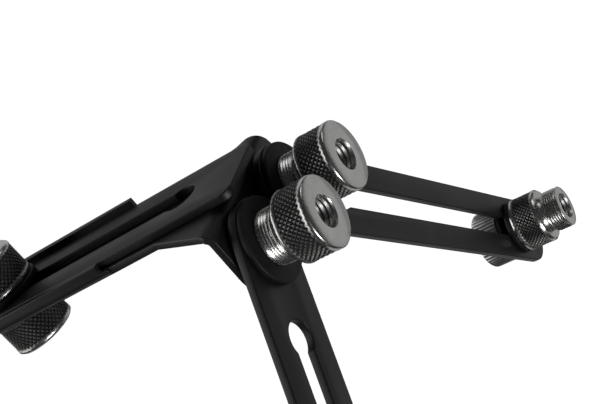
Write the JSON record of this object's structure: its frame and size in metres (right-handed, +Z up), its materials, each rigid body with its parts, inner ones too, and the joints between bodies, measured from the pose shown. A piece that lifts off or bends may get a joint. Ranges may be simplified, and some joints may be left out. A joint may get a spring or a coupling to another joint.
{
  "type": "twin-arm microphone boom bracket",
  "caption": "Slotted steel boom with a bent hub and swing arms that carry sliding threaded microphone adapters, clamped to a stand by knurled nuts.",
  "frame": {"origin": "centre of the stand socket's open lower face, on the clamp screw's axis", "axes": "+Z up the clamp screw, +X along the boom towards the two pivots, +Y to the left of the boom"},
  "size_m": [0.2071, 0.2668, 0.1784],
  "materials": {
    "black_steel": "satin powder coat",
    "black_washer": "matte",
    "satin_nickel": "satin nickel plate, knurled",
    "zinc_steel": "zinc plate"
  },
  "bodies": {
    "clamp": {"stand_socket": "satin_nickel", "clamp_stud": "zinc_steel", "clamp_washer": "black_washer"},
    "clamp_adapter": {"clamp_adapter": "satin_nickel"},
    "hub": {"hub_bracket": "black_steel", "left_pivot_bolt": "zinc_steel", "left_bolt_washer": "zinc_steel", "left_friction_washer": "black_washer", "left_pivot_washer": "black_washer", "right_pivot_bolt": "zinc_steel", "right_bolt_washer": "zinc_steel", "right_friction_washer": "black_washer", "right_pivot_washer": "black_washer"},
    "slide_bar": {"slide_bar": "black_steel"},
    "left_arm": {"left_arm": "black_steel"},
    "left_knob": {"left_pivot_knob": "satin_nickel"},
    "left_carrier": {"left_rear_washer": "black_washer", "left_front_washer": "black_washer"},
    "left_thumb_screw": {"left_thumb_screw": "satin_nickel"},
    "left_mic_adapter": {"left_mic_adapter": "satin_nickel"},
    "right_arm": {"right_arm": "black_steel"},
    "right_knob": {"right_pivot_knob": "satin_nickel"},
    "right_carrier": {"right_rear_washer": "black_washer", "right_front_washer": "black_washer"},
    "right_thumb_screw": {"right_thumb_screw": "satin_nickel"},
    "right_mic_adapter": {"right_mic_adapter": "satin_nickel"}
  },
  "joints": [
    {"name": "boom_swivel", "type": "hinge", "parent": "clamp", "child": "hub", "pos_m": [0, 0, 0], "axis": [0, 0, 1], "continuous": true},
    {"name": "clamp_adapter_turn", "type": "hinge", "parent": "clamp", "child": "clamp_adapter", "pos_m": [0, 0, 0.02], "axis": [0, 0, 1], "continuous": true},
    {"name": "boom_slide", "type": "slide", "parent": "hub", "child": "slide_bar", "axis": [1, 0, 0], "range_m": [-0.065, 0.065]},
    {"name": "left_arm_swing", "type": "hinge", "parent": "hub", "child": "left_arm", "pos_m": [0.093, 0.0135, -0.0008], "axis": [1, 0, 0], "range_deg": [-45.75, 69.25]},
    {"name": "left_knob_turn", "type": "hinge", "parent": "hub", "child": "left_knob", "pos_m": [0.093, 0.0135, -0.0008], "axis": [1, 0, 0], "continuous": true},
    {"name": "left_adapter_slide", "type": "slide", "parent": "left_arm", "child": "left_carrier", "axis": [0, 0.7163, -0.6978], "range_m": [-0.105, 0.008]},
    {"name": "left_thumb_screw_turn", "type": "hinge", "parent": "left_carrier", "child": "left_thumb_screw", "pos_m": [0.1, 0.12223, -0.10673], "axis": [1, 0, 0], "continuous": true},
    {"name": "left_mic_adapter_turn", "type": "hinge", "parent": "left_carrier", "child": "left_mic_adapter", "pos_m": [0.1, 0.12223, -0.10673], "axis": [1, 0, 0], "continuous": true},
    {"name": "right_arm_swing", "type": "hinge", "parent": "hub", "child": "right_arm", "pos_m": [0.093, -0.0135, -0.0008], "axis": [-1, 0, 0], "range_deg": [-38, 77]},
    {"name": "right_knob_turn", "type": "hinge", "parent": "hub", "child": "right_knob", "pos_m": [0.093, -0.0135, -0.0008], "axis": [1, 0, 0], "continuous": true},
    {"name": "right_adapter_slide", "type": "slide", "parent": "right_arm", "child": "right_carrier", "axis": [0, -0.6157, -0.788], "range_m": [-0.105, 0.008]},
    {"name": "right_thumb_screw_turn", "type": "hinge", "parent": "right_carrier", "child": "right_thumb_screw", "pos_m": [0.1, -0.10696, -0.12042], "axis": [1, 0, 0], "continuous": true},
    {"name": "right_mic_adapter_turn", "type": "hinge", "parent": "right_carrier", "child": "right_mic_adapter", "pos_m": [0.1, -0.10696, -0.12042], "axis": [1, 0, 0], "continuous": true}
  ]
}
